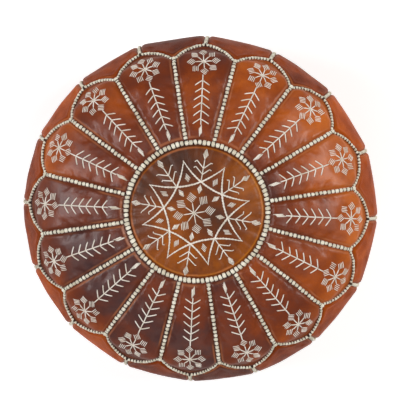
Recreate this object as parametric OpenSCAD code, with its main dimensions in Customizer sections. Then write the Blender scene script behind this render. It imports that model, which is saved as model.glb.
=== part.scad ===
// A round stuffed seat sewn from dyed leather: an embroidered medallion, sixteen petal panels
// on top, sixteen side panels, and a base in two halves that a zip joins.
// Millimetres, +Z up. The origin is the middle of the base, on the surface that it rests on.
// A petal's tip points along +X, and the zip runs along X.

/* [Seat] */
// Diameter at the widest point
seat_d = 550; // [540:1:560]
// Height of the crown above the floor
seat_h = 300; // [296:1:304]
// Radius of the side's curve, seen from the side
side_r = 260; // [256:1:264]
// Radius of the rounded shoulder
shoulder_r = 80; // [76:1:84]
// Height where the side turns into the shoulder
shoulder_start = 220; // [216:1:224]
// Radius of the rounded foot
foot_r = 70; // [66:1:74]

/* [Pattern] */
// Radius of the seam round the medallion
medallion_seam_r = 106; // [98:1:110]
// Radius where two scallops meet at a radial seam
valley_r = 236; // [234:1:238]
// Radius at the tip of each scallop
tip_r = 258; // [257:0.5:259]
// Radius of the seam between the sides and the base
base_seam_r = 193.4; // [193:0.2:194]

/* [Leather and thread] */
// Thickness of the leather
leather_t = 2; // [1.6:0.1:2.2]
// Distance from a seam's centre line to the cut edge of the leather
seam_gap = 3.2; // [3.1:0.1:3.6]
// Radius of the overcast thread along a seam
cord_r = 2.7; // [2.2:0.1:2.8]
// Height of the centre of that thread above the skin
cord_lift = 0.5; // [0.2:0.1:0.8]

/* [Embroidery] */
// Height of the embroidery's underside above the skin
stitch_low = 0.2; // [0.1:0.05:0.3]
// Height of the embroidery's top above the skin
stitch_high = 1.0; // [0.8:0.1:1.2]
// Width of a stem, spoke or barb
stem_w = 1.6; // [1.2:0.1:2]
// Radius, from the seat's axis, of the middle of each petal's flower
flower_r = 232; // [230:1:234]
// Radius of each petal's inner diamond
diamond_r = 129; // [126:1:130]
// Radius of the innermost barbs of a petal's fern
fern_r = 152; // [150:1:153]
// Distance from one pair of barbs to the next
barb_step = 11; // [10:0.5:11.5]
// Length of a barb, along the stem and across it
barb_size = [9, 12]; // [6:1:14]

/* [Zip] */
// Half of the width of the channel in the base that the zip lies in
channel_y = 30; // [28:1:32]
// Height of the zip's leather edge above the floor
flange_z = 8; // [7.8:0.1:8.2]
// Half of the length of the two coil rows
coil_half = 172; // [168:1:172]
// Distance from the middle to the slider when the zip is closed
closed_x = 160; // [150:1:160]
// Length of the slider
slider_l = 14; // [12:1:15]
// Length of the pull tab from its pin
tab_l = 28; // [22:1:28]

/* [Hidden] */
$fn = 96;
// Number of petals, and of side panels
petals = 16;
TOP = [for (k = [0:petals - 1]) str("top_panel_", k < 9 ? "0" : "", k + 1)];
SIDE = [for (k = [0:petals - 1]) str("side_panel_", k < 9 ? "0" : "", k + 1)];

COGNAC = [0.62, 0.33, 0.14];
BROWN = [0.47, 0.25, 0.15];
PLUM = [0.31, 0.19, 0.18];
THREAD = [0.86, 0.83, 0.72];
// Dye of each petal, anticlockwise from +X
TOP_DYE = [COGNAC, COGNAC, COGNAC, COGNAC, BROWN, BROWN, COGNAC, BROWN,
           PLUM, PLUM, COGNAC, BROWN, BROWN, BROWN, BROWN, COGNAC];

step = 360 / petals;
half = step / 2;
far = seat_d;

// ---- the skin's outline: crown, shoulder, side and foot, four tangent arcs in the r, z plane ----
belly_z = seat_h / 2;
side_x = seat_d / 2 - side_r;
side_top = asin((shoulder_start - belly_z) / side_r);
shoulder_x = side_x + (side_r - shoulder_r) * cos(side_top);
shoulder_z = belly_z + (side_r - shoulder_r) * sin(side_top);
crown_r = (shoulder_x ^ 2 + (seat_h - shoulder_z) ^ 2 - shoulder_r ^ 2)
        / (2 * (seat_h - shoulder_z - shoulder_r));
crown_z = seat_h - crown_r;
crown_a = atan2(shoulder_z - crown_z, shoulder_x);
foot_a = -asin((belly_z - foot_r) / (side_r - foot_r));
foot_x = side_x + (side_r - foot_r) * cos(foot_a);

function arc(centre, r, a0, a1, n) =
    [for (i = [0:n]) let (a = a0 + (a1 - a0) * i / n) centre + r * [cos(a), sin(a)]];
function rest(list) = [for (i = [1:len(list) - 1]) list[i]];
function backwards(list) = [for (i = [len(list) - 1:-1:0]) list[i]];

// Each arc of the outline at a depth under the skin
function crown(depth) = arc([0, crown_z], crown_r - depth, 90, crown_a, 6);
function shoulder(depth, a0, a1, n) = arc([shoulder_x, shoulder_z], shoulder_r - depth, a0, a1, n);
function side(depth, n) = arc([side_x, belly_z], side_r - depth, side_top, foot_a, n);
function foot(depth, a1, n) = arc([foot_x, foot_r], foot_r - depth, foot_a, a1, n);

// The petals' part of the outline, and the side panels' part
function top_line(depth) = concat(crown(depth), rest(shoulder(depth, crown_a, 25, 9)));
function side_line(depth) = concat(shoulder(depth, 62, side_top, 8), rest(side(depth, 6)),
                                   rest(foot(depth, -90, 9)));
// The whole outline down to a height z in the foot
function whole_line(depth, z) = concat(
    crown(depth), rest(shoulder(depth, crown_a, side_top, 10)), rest(side(depth, 6)),
    rest(foot(depth, -asin((foot_r - z) / (foot_r - depth)), 8)));

// Height of the skin at a radius on the crown or the shoulder
crown_end = crown_r * cos(crown_a);
function skin_z(r) = r < crown_end
    ? crown_z + sqrt(crown_r ^ 2 - r ^ 2)
    : shoulder_z + sqrt(shoulder_r ^ 2 - (r - shoulder_x) ^ 2);

// The scallop at a petal's tip is part of a circle, seen from above
valley = valley_r * [cos(half), sin(half)];
scallop_x = (tip_r ^ 2 - valley_r ^ 2) / (2 * (tip_r - valley[0]));
scallop_r = tip_r - scallop_x;
scallop_a = atan2(valley[1], valley[0] - scallop_x);

module shell(outer, inner) {
    rotate_extrude() polygon(concat(outer, backwards(inner)));
}

// A wedge about +X whose two edges stay a distance off the seam lines
module wedge(gap) {
    translate([gap / sin(half), 0])
        polygon([[0, 0], far * [cos(half), -sin(half)], far * [cos(half), sin(half)]]);
}

// A petal's outline seen from above, out to its scallop; a negative gap grows it
module petal_outline(gap) {
    intersection() {
        translate([scallop_x, 0]) circle(scallop_r - gap);
        translate([scallop_x - 20, -far]) square([far, 2 * far]);
    }
    translate([0, -far]) square([scallop_x - 15, 2 * far]);
}

module top_panel(k) {
    rotate(k * step) color(TOP_DYE[k]) intersection() {
        shell(top_line(0), top_line(leather_t));
        translate([0, 0, shoulder_z]) linear_extrude(seat_h) difference() {
            intersection() {
                wedge(seam_gap);
                petal_outline(seam_gap);
            }
            circle(medallion_seam_r + seam_gap);
        }
    }
}

module medallion() {
    color(COGNAC) intersection() {
        shell(crown(0), crown(leather_t));
        cylinder(r = medallion_seam_r - seam_gap, h = 2 * seat_h);
    }
}

// A side panel runs from two half scallops down to the base seam
module side_panel(k) {
    rotate(k * step + half) color(k % 3 == 1 ? BROWN : COGNAC) difference() {
        intersection() {
            shell(side_line(0), side_line(leather_t));
            linear_extrude(seat_h) wedge(seam_gap);
        }
        for (s = [-half, half]) rotate(s) translate([0, 0, shoulder_z])
            linear_extrude(seat_h) intersection() {
                wedge(-1);
                petal_outline(-seam_gap);
            }
        cylinder(r = base_seam_r + seam_gap, h = foot_r);
    }
}

// ---- overcast seams ----
CORD_SIDES = 8;
function unit(v) = v / norm(v);
// Rings of points square to the path, with the seat's middle as the way in
function ring(p, t, r) = let (u = unit(cross(t, p - [0, 0, 120])), w = unit(cross(u, t)))
    [for (j = [0:CORD_SIDES - 1]) let (a = 360 * j / CORD_SIDES) p + r * (cos(a) * u + sin(a) * w)];
function tangent(path, i) = unit(path[min(i + 1, len(path) - 1)] - path[max(i - 1, 0)]);

module cord(path, r) {
    n = CORD_SIDES;
    last = (len(path) - 1) * n;
    points = [for (i = [0:len(path) - 1]) each ring(path[i], tangent(path, i), r)];
    walls = [for (i = [0:len(path) - 2], j = [0:n - 1]) let (
        a = i * n + j, b = i * n + (j + 1) % n) each [[a, b, a + n], [b, b + n, a + n]]];
    polyhedron(points, concat(walls, [[for (j = [n - 1:-1:0]) j], [for (j = [0:n - 1]) last + j]]));
}

module seam_ring(r, z) {
    rotate_extrude() translate([r, z]) circle(cord_r, $fn = 24);
}

module medallion_seam() {
    color(THREAD) seam_ring(medallion_seam_r, skin_z(medallion_seam_r) + cord_lift);
}

module radial_seams() {
    first = medallion_seam_r + 2 * seam_gap;
    last = valley_r - 2 * seam_gap;
    path = [for (i = [0:7]) let (r = first + (last - first) * i / 7) [r, 0, skin_z(r) + cord_lift]];
    color(THREAD) for (k = [0:petals - 1]) rotate(k * step + half) cord(path, cord_r);
}

module scallop_seams() {
    reach = scallop_a - 5;
    path = [for (i = [-6:6]) let (a = reach * i / 6,
                                  p = [scallop_x + scallop_r * cos(a), scallop_r * sin(a)])
            [p[0], p[1], skin_z(norm(p)) + cord_lift]];
    color(THREAD) for (k = [0:petals - 1]) rotate(k * step) cord(path, cord_r);
}

module side_seams() {
    top_a = acos((tip_r - shoulder_x) / shoulder_r) - 5;
    line = concat(shoulder(-cord_lift, top_a, side_top, 2), rest(side(-cord_lift, 7)),
                  rest(foot(-cord_lift, -70, 5)));
    path = [for (p = line) [p[0], 0, p[1]]];
    color(THREAD) for (k = [0:petals - 1]) rotate(k * step) cord(path, cord_r);
}

module base_seam() {
    color(THREAD) seam_ring(base_seam_r, cord_r + 0.1);
}

// ---- embroidery: a thin layer of thread that follows the skin ----
module stitch_layer() {
    color(THREAD) intersection() {
        shell(top_line(-stitch_high), top_line(-stitch_low));
        translate([0, 0, shoulder_z]) linear_extrude(seat_h) children();
    }
}

// A bar of thread from one point to another
module bar(p, q, w) {
    d = q - p;
    translate(p) rotate(atan2(d[1], d[0])) translate([0, -w / 2]) square([norm(d), w]);
}

// A slim diamond along X
module diamond(x, l, w) {
    polygon([[x - l / 2, 0], [x, -w / 2], [x + l / 2, 0], [x, w / 2]]);
}

// Eight satin-stitched petals round a middle, on spokes
module flower(petal_at, petal_l, spoke_w) {
    for (a = [0:45:315]) rotate(a + 22.5) diamond(petal_at, petal_l, petal_l * 0.8);
    for (a = [0:45:135]) rotate(a + 22.5) square([2 * petal_at, spoke_w], center = true);
}

// Fern motif of one petal: a slim diamond, a stem with barbs, and a flower at the outer end
module petal_motif() {
    translate([flower_r, 0]) flower(15, 10, stem_w);
    bar([diamond_r + 7, 0], [flower_r, 0], stem_w);
    diamond(diamond_r, 15, 7);
    for (i = [0:5], s = [-1, 1]) {
        root = [fern_r + barb_step * i, 0];
        bar(root, root + [-barb_size[0], barb_size[1] * s], stem_w);
    }
}

module petal_embroidery() {
    for (k = [0:petals - 1]) rotate(k * step) stitch_layer() petal_motif();
}

// Radii of the medallion's pattern, as shares of the seam ring's radius
FLOWER = 0.23;
INNER_DIAMOND = 0.33;
STAR_DIP = 0.46;
TIP_DIAMOND = 0.53;
BRANCH = [0.5, 0.8];
TWIGS = [0.56, 0.66];
STAR_TIP = 0.8;
OUTER_DIAMOND = 0.85;

// An eight-pointed star with a small diamond inside each point
module star_points(r) {
    for (k = [0:7]) rotate(45 * k + 22.5) {
        for (s = [-1, 1])
            bar(STAR_TIP * r * [1, 0], STAR_DIP * r * [cos(22.5), s * sin(22.5)], 1.5 * stem_w);
        diamond(TIP_DIAMOND * r, 15, 8);
    }
}

// Branches stand in the star's hollows, with small diamonds on both sides of its crossings
module star_branches(r) {
    for (k = [0:7]) rotate(45 * k) {
        bar([BRANCH[0] * r, 0], [BRANCH[1] * r, 0], stem_w);
        for (b = TWIGS, s = [-1, 1]) bar([b * r, 0], [b * r + 8, 10 * s], stem_w);
        diamond(OUTER_DIAMOND * r, 14, 7);
        diamond(INNER_DIAMOND * r, 14, 7);
    }
}

module medallion_embroidery() {
    stitch_layer() {
        flower(FLOWER * medallion_seam_r, 13, stem_w);
        star_points(medallion_seam_r);
        star_branches(medallion_seam_r);
    }
}

// ---- base and zip ----
lip_y = 8;
shelf_y = 14;
tape_low = flange_z + leather_t + 0.1;
tape_t = 0.7;
tape_y = 22;
coil_inner = 0.7;
coil_outer = 3;
coil_low = 8;
coil_high = tape_low - 0.1;

// A half's section: flat on the floor, then a ramp up to the shelf that the zip is sewn to
module base_half(s) {
    color(BROWN) intersection() {
        rotate([90, 0, 90]) translate([0, 0, -far / 2]) linear_extrude(far) polygon([for (p = [
            [lip_y, flange_z], [shelf_y, flange_z], [channel_y, 0], [far, 0],
            [far, leather_t], [channel_y + 0.9, leather_t], [shelf_y + 0.9, flange_z + leather_t],
            [lip_y, flange_z + leather_t]]) [s * p[0], p[1]]]);
        cylinder(r = base_seam_r - seam_gap, h = foot_r);
    }
}

// A box along X, on the left or right side of the zip
module strip(s, x, y0, y1, z0, z1) {
    translate([-x, s > 0 ? y0 : -y1, z0]) cube([2 * x, y1 - y0, z1 - z0]);
}

module zip_tape(s) {
    color("saddlebrown") strip(s, coil_half + 10, coil_inner, tape_y, tape_low, tape_low + tape_t);
}

module zip_coil(s) {
    color("peru") strip(s, coil_half, coil_inner, coil_outer, coil_low, coil_high);
}

// A metal clamp that holds the ends of both coils
module zip_stop(s) {
    l = 4;
    color("goldenrod") translate([s * (coil_half + 0.3 + l / 2), 0, (coil_low + coil_high) / 2])
        cube([l, 2 * coil_outer + 0.6, coil_high - coil_low], center = true);
}

pin_z = 4.1;
pin_r = 0.9;
pin_bore_r = 0.98;
eye_r = 1.9;
ear_y = 2.3;
ear_t = 0.9;
plate_low = 6.4;
plate_t = 1.2;
wing_y = 4.6;
wing_t = 1.1;
top_plate_low = tape_low + tape_t + 0.4;
top_plate_t = 1.2;

// The slider holds both coils between two plates, with a wedge between the rows and ears for the tab
module zip_slider() {
    color("goldenrod") translate([closed_x, 0, 0]) {
        translate([-slider_l / 2, -wing_y, plate_low]) cube([slider_l, 2 * wing_y, plate_t]);
        translate([-slider_l / 2, -wing_y, top_plate_low]) cube([slider_l, 2 * wing_y, top_plate_t]);
        translate([-2, -0.35, plate_low]) cube([4, 0.7, top_plate_low - plate_low + top_plate_t]);
        for (s = [-1, 1])
            translate([-slider_l / 2, s > 0 ? wing_y - wing_t : -wing_y, plate_low])
                cube([slider_l, wing_t, tape_low - 0.4 - plate_low]);
        for (s = [-1, 1])
            translate([0, s > 0 ? ear_y : -ear_y - ear_t, 0]) slider_ear();
        translate([0, ear_y + ear_t, pin_z]) rotate([90, 0, 0])
            cylinder(r = pin_r, h = 2 * (ear_y + ear_t));
    }
}

module slider_ear() {
    translate([0, ear_t, pin_z]) rotate([90, 0, 0]) cylinder(r = 2, h = ear_t);
    translate([-2, 0, pin_z]) cube([4, ear_t, plate_low - pin_z + 0.2]);
}

module zip_pull_tab() {
    t = 1.5;
    w = 7;
    color("goldenrod") translate([closed_x, 0, pin_z]) difference() {
        union() {
            rotate([90, 0, 0]) cylinder(r = eye_r, h = 2 * ear_y - 0.6, center = true);
            translate([-10, -ear_y + 0.3, -t / 2]) cube([10, 2 * ear_y - 0.6, t]);
            translate([-tab_l, -w / 2, -t / 2]) cube([tab_l - 7, w, t]);
        }
        rotate([90, 0, 0]) cylinder(r = pin_bore_r, h = w, center = true);
    }
}

// ---- the stuffed bag inside ----
bag_t = 1;
bag_gap = 1;
foot_clear = 6.5;
seam_clear = 8;

// A solid of the inside at a depth under the skin, clear of the base seam and the zip channel
module inside(depth) {
    extra = depth - leather_t;
    floor_z = leather_t + extra;
    line = whole_line(depth, foot_clear + extra);
    difference() {
        rotate_extrude() polygon(concat(line, [
            [base_seam_r - seam_clear, foot_clear + extra],
            [base_seam_r - seam_clear, floor_z], [0, floor_z]]));
        translate([-far / 2, -channel_y - 4 - extra, -1])
            cube([far, 2 * (channel_y + 4 + extra), 14 + extra]);
    }
}

module inner_bag() {
    color("wheat") difference() {
        inside(leather_t + bag_gap);
        inside(leather_t + bag_gap + bag_t);
    }
}

module filling() {
    color("ivory") inside(leather_t + bag_gap + bag_t + 0.3);
}

medallion();
for (k = [0:petals - 1]) top_panel(k);
for (k = [0:petals - 1]) side_panel(k);
medallion_seam();
radial_seams();
scallop_seams();
side_seams();
base_seam();
medallion_embroidery();
petal_embroidery();
base_half(1);  // base_half_left
base_half(-1);  // base_half_right
zip_tape(1);  // zip_tape_left
zip_tape(-1);  // zip_tape_right
zip_coil(1);  // zip_coil_left
zip_coil(-1);  // zip_coil_right
zip_stop(1);  // zip_top_stop
zip_stop(-1);  // zip_bottom_stop
zip_slider();
zip_pull_tab();
inner_bag();
filling();
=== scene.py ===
# A round stuffed leather seat, sewn from dyed panels over a cotton bag of fibre.
# Metres, +Z up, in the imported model's frame: a petal's tip points along +X.
import math

import bmesh
import bpy
import numpy as np
from mathutils import Matrix, Vector


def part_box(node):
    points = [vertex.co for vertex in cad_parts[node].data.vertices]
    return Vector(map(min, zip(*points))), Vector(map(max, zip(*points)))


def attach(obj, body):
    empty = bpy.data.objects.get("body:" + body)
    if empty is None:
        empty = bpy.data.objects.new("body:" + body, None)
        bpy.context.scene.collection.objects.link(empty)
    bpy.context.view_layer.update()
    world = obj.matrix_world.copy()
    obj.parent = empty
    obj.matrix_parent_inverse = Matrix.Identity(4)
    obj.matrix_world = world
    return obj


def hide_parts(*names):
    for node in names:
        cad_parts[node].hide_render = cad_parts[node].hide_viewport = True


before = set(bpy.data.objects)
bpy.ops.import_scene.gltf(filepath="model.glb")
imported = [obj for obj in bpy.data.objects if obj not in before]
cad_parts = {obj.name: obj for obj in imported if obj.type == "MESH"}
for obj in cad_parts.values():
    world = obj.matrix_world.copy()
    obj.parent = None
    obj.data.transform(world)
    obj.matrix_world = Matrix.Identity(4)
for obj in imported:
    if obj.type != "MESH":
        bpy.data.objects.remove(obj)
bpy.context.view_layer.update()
MM = 0.001


# ---- Studio ----
# A pale seamless floor, two large round soft lights left and right of the seat and a weak one
# in front, and a camera almost straight above it, leaning a little towards one corner.
CAMERA_LEAN = math.radians(2.8)
CAMERA_BEARING = math.radians(44)
CAMERA_ROLL = math.radians(2.6)
CAMERA_DISTANCE = 2.75
CAMERA_LENS = 149.8
FRAME_SHIFT = (0.0185, 0.0012)
AIM_HEIGHT = 0.15
SURROUND = 0.16
FAR_TONE = 0.64
FLOOR_GLOW = 0.47
FLOOR_REACH = 12

bpy.context.scene.view_settings.view_transform = "Standard"


def srgb(r, g, b):
    """A colour given as 0 to 255 on screen, as the linear values that a shader takes."""
    return [((c / 255 + 0.055) / 1.055) ** 2.4 if c > 10 else c / 255 / 12.92 for c in (r, g, b)] + [1]


def add_object(name, data):
    """A new object in the scene."""
    thing = bpy.data.objects.new(name, data)
    bpy.context.scene.collection.objects.link(thing)
    return thing


def new_material(name):
    """A material, with its nodes and its shader."""
    material = bpy.data.materials.new(name)
    material.use_nodes = True
    return material, material.node_tree, material.node_tree.nodes["Principled BSDF"]


def make_camera():
    lean = Vector((math.cos(CAMERA_BEARING), math.sin(CAMERA_BEARING), 0)) * math.sin(CAMERA_LEAN)
    back = lean + Vector((0, 0, math.cos(CAMERA_LEAN)))
    side = Vector((math.cos(CAMERA_ROLL), math.sin(CAMERA_ROLL), 0))
    up = back.cross(side).normalized()
    right = up.cross(back).normalized()
    data = bpy.data.cameras.new("camera")
    data.lens = CAMERA_LENS
    data.sensor_width = 36
    data.shift_x, data.shift_y = FRAME_SHIFT
    camera = add_object("camera", data)
    camera.matrix_world = Matrix((right, up, back)).transposed().to_4x4()
    camera.location = Vector((0, 0, AIM_HEIGHT)) + back * CAMERA_DISTANCE
    bpy.context.scene.camera = camera


def soft_box(name, bearing, height_angle, distance, size, power, tint):
    """A round soft light that points at the seat."""
    data = bpy.data.lights.new(name, "AREA")
    data.shape = "DISK"
    data.size = size
    data.energy = power
    data.color = tint
    a, e = math.radians(bearing), math.radians(height_angle)
    towards = Vector((math.cos(a) * math.cos(e), math.sin(a) * math.cos(e), math.sin(e)))
    lamp = add_object(name, data)
    lamp.location = Vector((0, 0, 0.2)) + towards * distance
    lamp.rotation_euler = towards.to_track_quat("Z", "Y").to_euler()


def make_floor():
    mesh = bpy.data.meshes.new("floor")
    corners = [(x * FLOOR_REACH, y * FLOOR_REACH, 0) for x, y in ((-1, -1), (1, -1), (1, 1), (-1, 1))]
    mesh.from_pydata(corners, [], [(0, 1, 2, 3)])
    floor = add_object("floor", mesh)
    paint, _, shader = new_material("floor_paint")
    shader.inputs["Base Color"].default_value = (0.93, 0.93, 0.93, 1)
    shader.inputs["Roughness"].default_value = 0.9
    shader.inputs["Specular IOR Level"].default_value = 0.1
    shader.inputs["Emission Color"].default_value = (1, 1, 1, 1)
    shader.inputs["Emission Strength"].default_value = FLOOR_GLOW
    mesh.materials.append(paint)


def make_backdrop():
    """A dim white surround that lights the seat softly, and shows as pale as the floor's far end."""
    world = bpy.data.worlds.new("studio")
    world.use_nodes = True
    tree = world.node_tree
    glow = tree.nodes["Background"]
    seen = tree.nodes.new("ShaderNodeBackground")
    for light, strength in ((glow, SURROUND), (seen, FAR_TONE)):
        light.inputs["Color"].default_value = (1, 1, 1, 1)
        light.inputs["Strength"].default_value = strength
    choose = tree.nodes.new("ShaderNodeMixShader")
    tree.links.new(tree.nodes.new("ShaderNodeLightPath").outputs["Is Camera Ray"], choose.inputs[0])
    tree.links.new(glow.outputs[0], choose.inputs[1])
    tree.links.new(seen.outputs[0], choose.inputs[2])
    tree.links.new(choose.outputs[0], tree.nodes["World Output"].inputs["Surface"])
    bpy.context.scene.world = world


make_camera()
make_floor()
soft_box("box_left", 178, 48, 2.6, 1.2, 35, (1.0, 0.97, 0.98))
soft_box("box_right", 20, 48, 2.6, 1.2, 35, (1.0, 0.98, 0.95))
soft_box("box_front", 268, 40, 3.0, 1.8, 10, (1.0, 1.0, 1.0))
make_backdrop()


# ---- The form of the seat ----
# The stuffed shape that every leather piece is sewn to: crown, shoulder, side and foot are
# four tangent arcs, turned about the axis. A place on it is an angle and a length down the outline.
PETALS = 16
STEP = 2 * math.pi / PETALS
HALF = STEP / 2
SEAT_R = 0.275
SEAT_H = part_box("medallion")[1].z
SIDE_R = 0.260
SHOULDER_R = 0.080
FOOT_R = 0.070
MEDALLION_R = 0.106
VALLEY_R = 0.236
TIP_R = 0.258
BASE_R = 0.1934
# Hand work leaves the seat a little wider along X than along Y, and its seams pulled round
# by a degree or two on one side
OVAL = 0.010
PULL = -0.032
PULL_AT = math.radians(-47)
PULL_WIDE = 0.62

BELLY_Z = SEAT_H / 2
SIDE_X = SEAT_R - SIDE_R
SIDE_TOP = math.asin((0.220 - BELLY_Z) / SIDE_R)
SHOULDER_X = SIDE_X + (SIDE_R - SHOULDER_R) * math.cos(SIDE_TOP)
SHOULDER_Z = BELLY_Z + (SIDE_R - SHOULDER_R) * math.sin(SIDE_TOP)
CROWN_R = (SHOULDER_X ** 2 + (SEAT_H - SHOULDER_Z) ** 2 - SHOULDER_R ** 2) \
    / (2 * (SEAT_H - SHOULDER_Z - SHOULDER_R))
CROWN_Z = SEAT_H - CROWN_R
CROWN_A = math.atan2(SHOULDER_Z - CROWN_Z, SHOULDER_X)
FOOT_A = -math.asin((BELLY_Z - FOOT_R) / (SIDE_R - FOOT_R))
FOOT_X = SIDE_X + (SIDE_R - FOOT_R) * math.cos(FOOT_A)
# Each arc: centre r, centre z, radius, first angle, last angle
ARCS = [(0, CROWN_Z, CROWN_R, math.pi / 2, CROWN_A),
        (SHOULDER_X, SHOULDER_Z, SHOULDER_R, CROWN_A, SIDE_TOP),
        (SIDE_X, BELLY_Z, SIDE_R, SIDE_TOP, FOOT_A),
        (FOOT_X, FOOT_R, FOOT_R, FOOT_A, -math.pi / 2)]
FOOT_END = sum(radius * (a0 - a1) for _, _, radius, a0, a1 in ARCS)


def outline(s):
    """Radius and height at a length down the outline, and the outward direction there."""
    s = np.asarray(s, float)
    r = FOOT_X - (s - FOOT_END)
    z = np.zeros_like(s)
    nr = np.zeros_like(s)
    nz = -np.ones_like(s)
    start = 0.0
    for cr, cz, radius, a0, a1 in ARCS:
        end = start + radius * (a0 - a1)
        here = (s >= start) & (s <= end)
        a = a0 - (s - start) / radius
        r = np.where(here, cr + radius * np.cos(a), r)
        z = np.where(here, cz + radius * np.sin(a), z)
        nr = np.where(here, np.cos(a), nr)
        nz = np.where(here, np.sin(a), nz)
        start = end
    return r, z, nr, nz


def length_to(r):
    """Length down the outline to a radius on the crown or the shoulder."""
    r = np.asarray(r, float)
    crown = CROWN_R * np.arcsin(np.clip(r / CROWN_R, 0, 1))
    crown_l = CROWN_R * (math.pi / 2 - CROWN_A)
    shoulder = crown_l + SHOULDER_R * (CROWN_A - np.arccos(np.clip((r - SHOULDER_X) / SHOULDER_R, -1, 1)))
    return np.where(r < CROWN_R * math.cos(CROWN_A), crown, shoulder)


MEDALLION_S = float(length_to(MEDALLION_R))
BASE_S = FOOT_END - FOOT_R * math.asin((BASE_R - FOOT_X) / FOOT_R)
SCALLOP_X = (TIP_R ** 2 - VALLEY_R ** 2) / (2 * (TIP_R - VALLEY_R * math.cos(HALF)))
SCALLOP_R = TIP_R - SCALLOP_X


def from_tip(theta):
    """Angle from the middle of the nearest petal."""
    return (theta + HALF) % STEP - HALF


def scallop_s(theta):
    """Length down the outline to the scallop seam at an angle."""
    a = from_tip(theta)
    return length_to(SCALLOP_X * np.cos(a) + np.sqrt(SCALLOP_R ** 2 - (SCALLOP_X * np.sin(a)) ** 2))


def scallop_slant(theta):
    """Cosine of the slant between the scallop seam and a circle round the seat."""
    d = 0.002
    a = np.clip(from_tip(theta), -HALF + d, HALF - d)
    rise = (scallop_s(a + d) - scallop_s(a - d)) / (2 * d)
    return 1 / np.sqrt(1 + (rise / VALLEY_R) ** 2)


def on_form(theta, s, lift=0.0):
    """Points at a height over the form, and the outward directions."""
    r, z, nr, nz = outline(s)
    away = (theta - PULL_AT + math.pi) % (2 * math.pi) - math.pi
    share = np.clip((s - MEDALLION_S) / 0.12, 0, 1) * np.clip((BASE_S - s) / 0.2, 0, 1)
    theta = theta + PULL * np.exp(-(away / PULL_WIDE) ** 2) * share
    c, t = np.cos(theta), np.sin(theta)
    out = np.stack([nr * c, nr * t, nz * np.ones_like(c)], -1)
    rise = np.clip((z - 0.02) / 0.10, 0, 1)
    oval = OVAL * rise * rise * (3 - 2 * rise)
    place = np.stack([r * c * (1 + oval), r * t * (1 - 1.5 * oval), z * np.ones_like(c)], -1)
    return place + out * np.asarray(lift)[..., None], out


# ---- Stuffing ----
# The sewn skin is blown out against its seams, as the filling does: every seam line holds
# still, and the leather between them swells and wrinkles. The other pieces follow this shape.
COLS = 12 * PETALS
DISC_ROWS = 16
TOP_ROWS = 26
SIDE_ROWS = 46
SWELL_CAP = 0.0065
CLOTH_STEPS = 18


def form_rows():
    """Rows of lengths down the outline: medallion, petals and side panels, seam to seam."""
    theta = np.arange(COLS) * STEP / 12
    disc = [np.full(COLS, MEDALLION_S * k / DISC_ROWS) for k in range(1, DISC_ROWS)]
    edge = scallop_s(theta)
    top = [MEDALLION_S + (edge - MEDALLION_S) * k / TOP_ROWS for k in range(TOP_ROWS)]
    side = [edge + (BASE_S - edge) * k / SIDE_ROWS for k in range(SIDE_ROWS + 1)]
    return theta, np.array(disc + top + side)


def flat_between_seams(theta, s):
    """How far a flat piece between two neighbouring seams lies inside the round form."""
    off = np.where(s < scallop_s(theta), from_tip(theta), from_tip(theta + HALF))
    r, nr = outline(s)[::2]
    full = -r * nr * (1 - math.cos(HALF) / np.cos(off)) * np.clip((s - MEDALLION_S) / 0.03, 0, 1)
    return np.where(s < scallop_s(theta), full, 0.65 * full)


def wrapped_faces(rows, cols):
    """Faces of a grid that closes on itself in its columns."""
    grid = np.arange(rows * cols).reshape(rows, cols)
    right = np.roll(grid, -1, 1)
    return np.stack([grid[:-1], grid[1:], right[1:], right[:-1]], -1).reshape(-1, 4).tolist()


def blow_out(co, faces, held):
    """Cloth under pressure, held at some points; returns where the points end up."""
    mesh = bpy.data.meshes.new("skin_form")
    mesh.from_pydata(co.tolist(), [], faces)
    skin = add_object("skin_form", mesh)
    skin.vertex_groups.new(name="seams").add([int(i) for i in held], 1.0, "REPLACE")
    cloth = skin.modifiers.new("Cloth", "CLOTH")
    for setting, value in (("quality", 5), ("mass", 0.3), ("tension_stiffness", 28),
                           ("compression_stiffness", 28), ("shear_stiffness", 12),
                           ("bending_stiffness", 1.2), ("tension_damping", 12),
                           ("compression_damping", 12), ("shear_damping", 12), ("use_pressure", True),
                           ("uniform_pressure_force", 3.2), ("shrink_min", -0.012),
                           ("vertex_group_mass", "seams")):
        setattr(cloth.settings, setting, value)
    cloth.settings.effector_weights.gravity = 0
    cloth.collision_settings.use_collision = False
    scene = bpy.context.scene
    for step in range(1, CLOTH_STEPS + 1):
        scene.frame_set(step)
    result = skin.evaluated_get(bpy.context.evaluated_depsgraph_get())
    out = np.empty(len(co) * 3)
    result.data.vertices.foreach_get("co", out)
    bpy.data.objects.remove(skin)
    bpy.data.meshes.remove(mesh)
    scene.frame_set(1)
    return out.reshape(-1, 3)


def stuff_skin():
    """Swelling of the skin at each row and column of the form."""
    theta, rows = form_rows()
    angles = np.broadcast_to(theta, rows.shape)
    flat = flat_between_seams(angles, rows)
    base, out = on_form(angles, rows)
    start = on_form(angles, rows, flat)[0]
    n = len(rows)
    centre = n * COLS
    co = np.vstack([start.reshape(-1, 3), [[0, 0, SEAT_H]]])
    faces = wrapped_faces(n, COLS) + [(centre, i, (i + 1) % COLS) for i in range(COLS)]
    grid = np.arange(n * COLS).reshape(n, COLS)
    first_top, first_side = DISC_ROWS - 1, DISC_ROWS - 1 + TOP_ROWS
    held = np.concatenate([grid[first_top], grid[first_side], grid[-1],
                           grid[first_top:first_side, 6::12].ravel(), grid[first_side:, 0::12].ravel()])
    moved = blow_out(co, faces, np.unique(held))[:-1].reshape(base.shape)
    swell = moved - base
    size = np.linalg.norm(swell, axis=-1, keepdims=True)
    return swell * SWELL_CAP * np.tanh(size / SWELL_CAP) / np.maximum(size, 1e-9)


SWELL = stuff_skin()


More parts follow.
